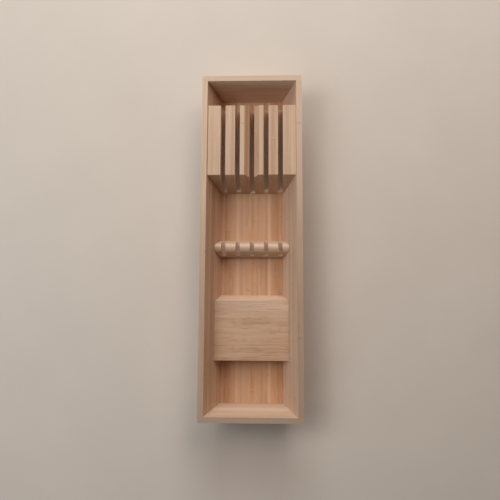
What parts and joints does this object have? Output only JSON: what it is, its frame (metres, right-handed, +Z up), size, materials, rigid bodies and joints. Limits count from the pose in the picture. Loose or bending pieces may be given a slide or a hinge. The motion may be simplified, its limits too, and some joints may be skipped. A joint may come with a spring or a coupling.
{
  "type": "in-drawer knife tray",
  "caption": "Open bamboo drawer tray with leaning walls that holds a slotted blade block, a notched rail and a bevelled handle rest, each lifting out on pegs.",
  "frame": {"origin": "middle of the underside, with the tray lying flat as it does in a drawer", "axes": "+X across the tray, +Y along it towards the slotted block, +Z up out of its mouth"},
  "size_m": [0.147, 0.5, 0.06],
  "materials": {
    "wall_bamboo": "clear-oiled, satin",
    "floor_bamboo": "clear-oiled, satin",
    "block_bamboo": "clear-oiled, satin",
    "spacer_bamboo": "clear-oiled, satin",
    "rest_bamboo": "clear-oiled, satin",
    "rail_bamboo": "clear-oiled, satin",
    "dowel_wood": "plain turned wood"
  },
  "bodies": {
    "tray": {"side_wall_left": "wall_bamboo", "side_wall_right": "wall_bamboo", "end_wall_near": "wall_bamboo", "end_wall_far": "wall_bamboo", "floor_stave_1": "floor_bamboo", "floor_stave_2": "floor_bamboo", "floor_stave_3": "floor_bamboo", "floor_stave_4": "floor_bamboo", "floor_stave_5": "floor_bamboo", "corner_dowels": "dowel_wood"},
    "slotted_block": {"block_slat_1": "block_bamboo", "block_slat_2": "block_bamboo", "block_slat_3": "block_bamboo", "block_slat_4": "block_bamboo", "block_slat_5": "block_bamboo", "block_slat_6": "block_bamboo", "block_spacer_1": "spacer_bamboo", "block_spacer_2": "spacer_bamboo", "steel_slot_spacer": "spacer_bamboo", "block_spacer_4": "spacer_bamboo", "block_spacer_5": "spacer_bamboo", "block_pegs": "dowel_wood"},
    "rail": {"notched_rail": "rail_bamboo", "rail_pegs": "dowel_wood"},
    "handle_rest": {"rest_stave_1": "rest_bamboo", "rest_stave_2": "rest_bamboo", "rest_stave_3": "rest_bamboo", "rest_stave_4": "rest_bamboo", "rest_pegs": "dowel_wood"}
  },
  "joints": [
    {"name": "block_lift", "type": "slide", "parent": "tray", "child": "slotted_block", "axis": [0, 0, 1], "range_m": [0, 0.08]},
    {"name": "rail_lift", "type": "slide", "parent": "tray", "child": "rail", "axis": [0, 0, 1], "range_m": [0, 0.08]},
    {"name": "rest_lift", "type": "slide", "parent": "tray", "child": "handle_rest", "axis": [0, 0, 1], "range_m": [0, 0.08]}
  ]
}
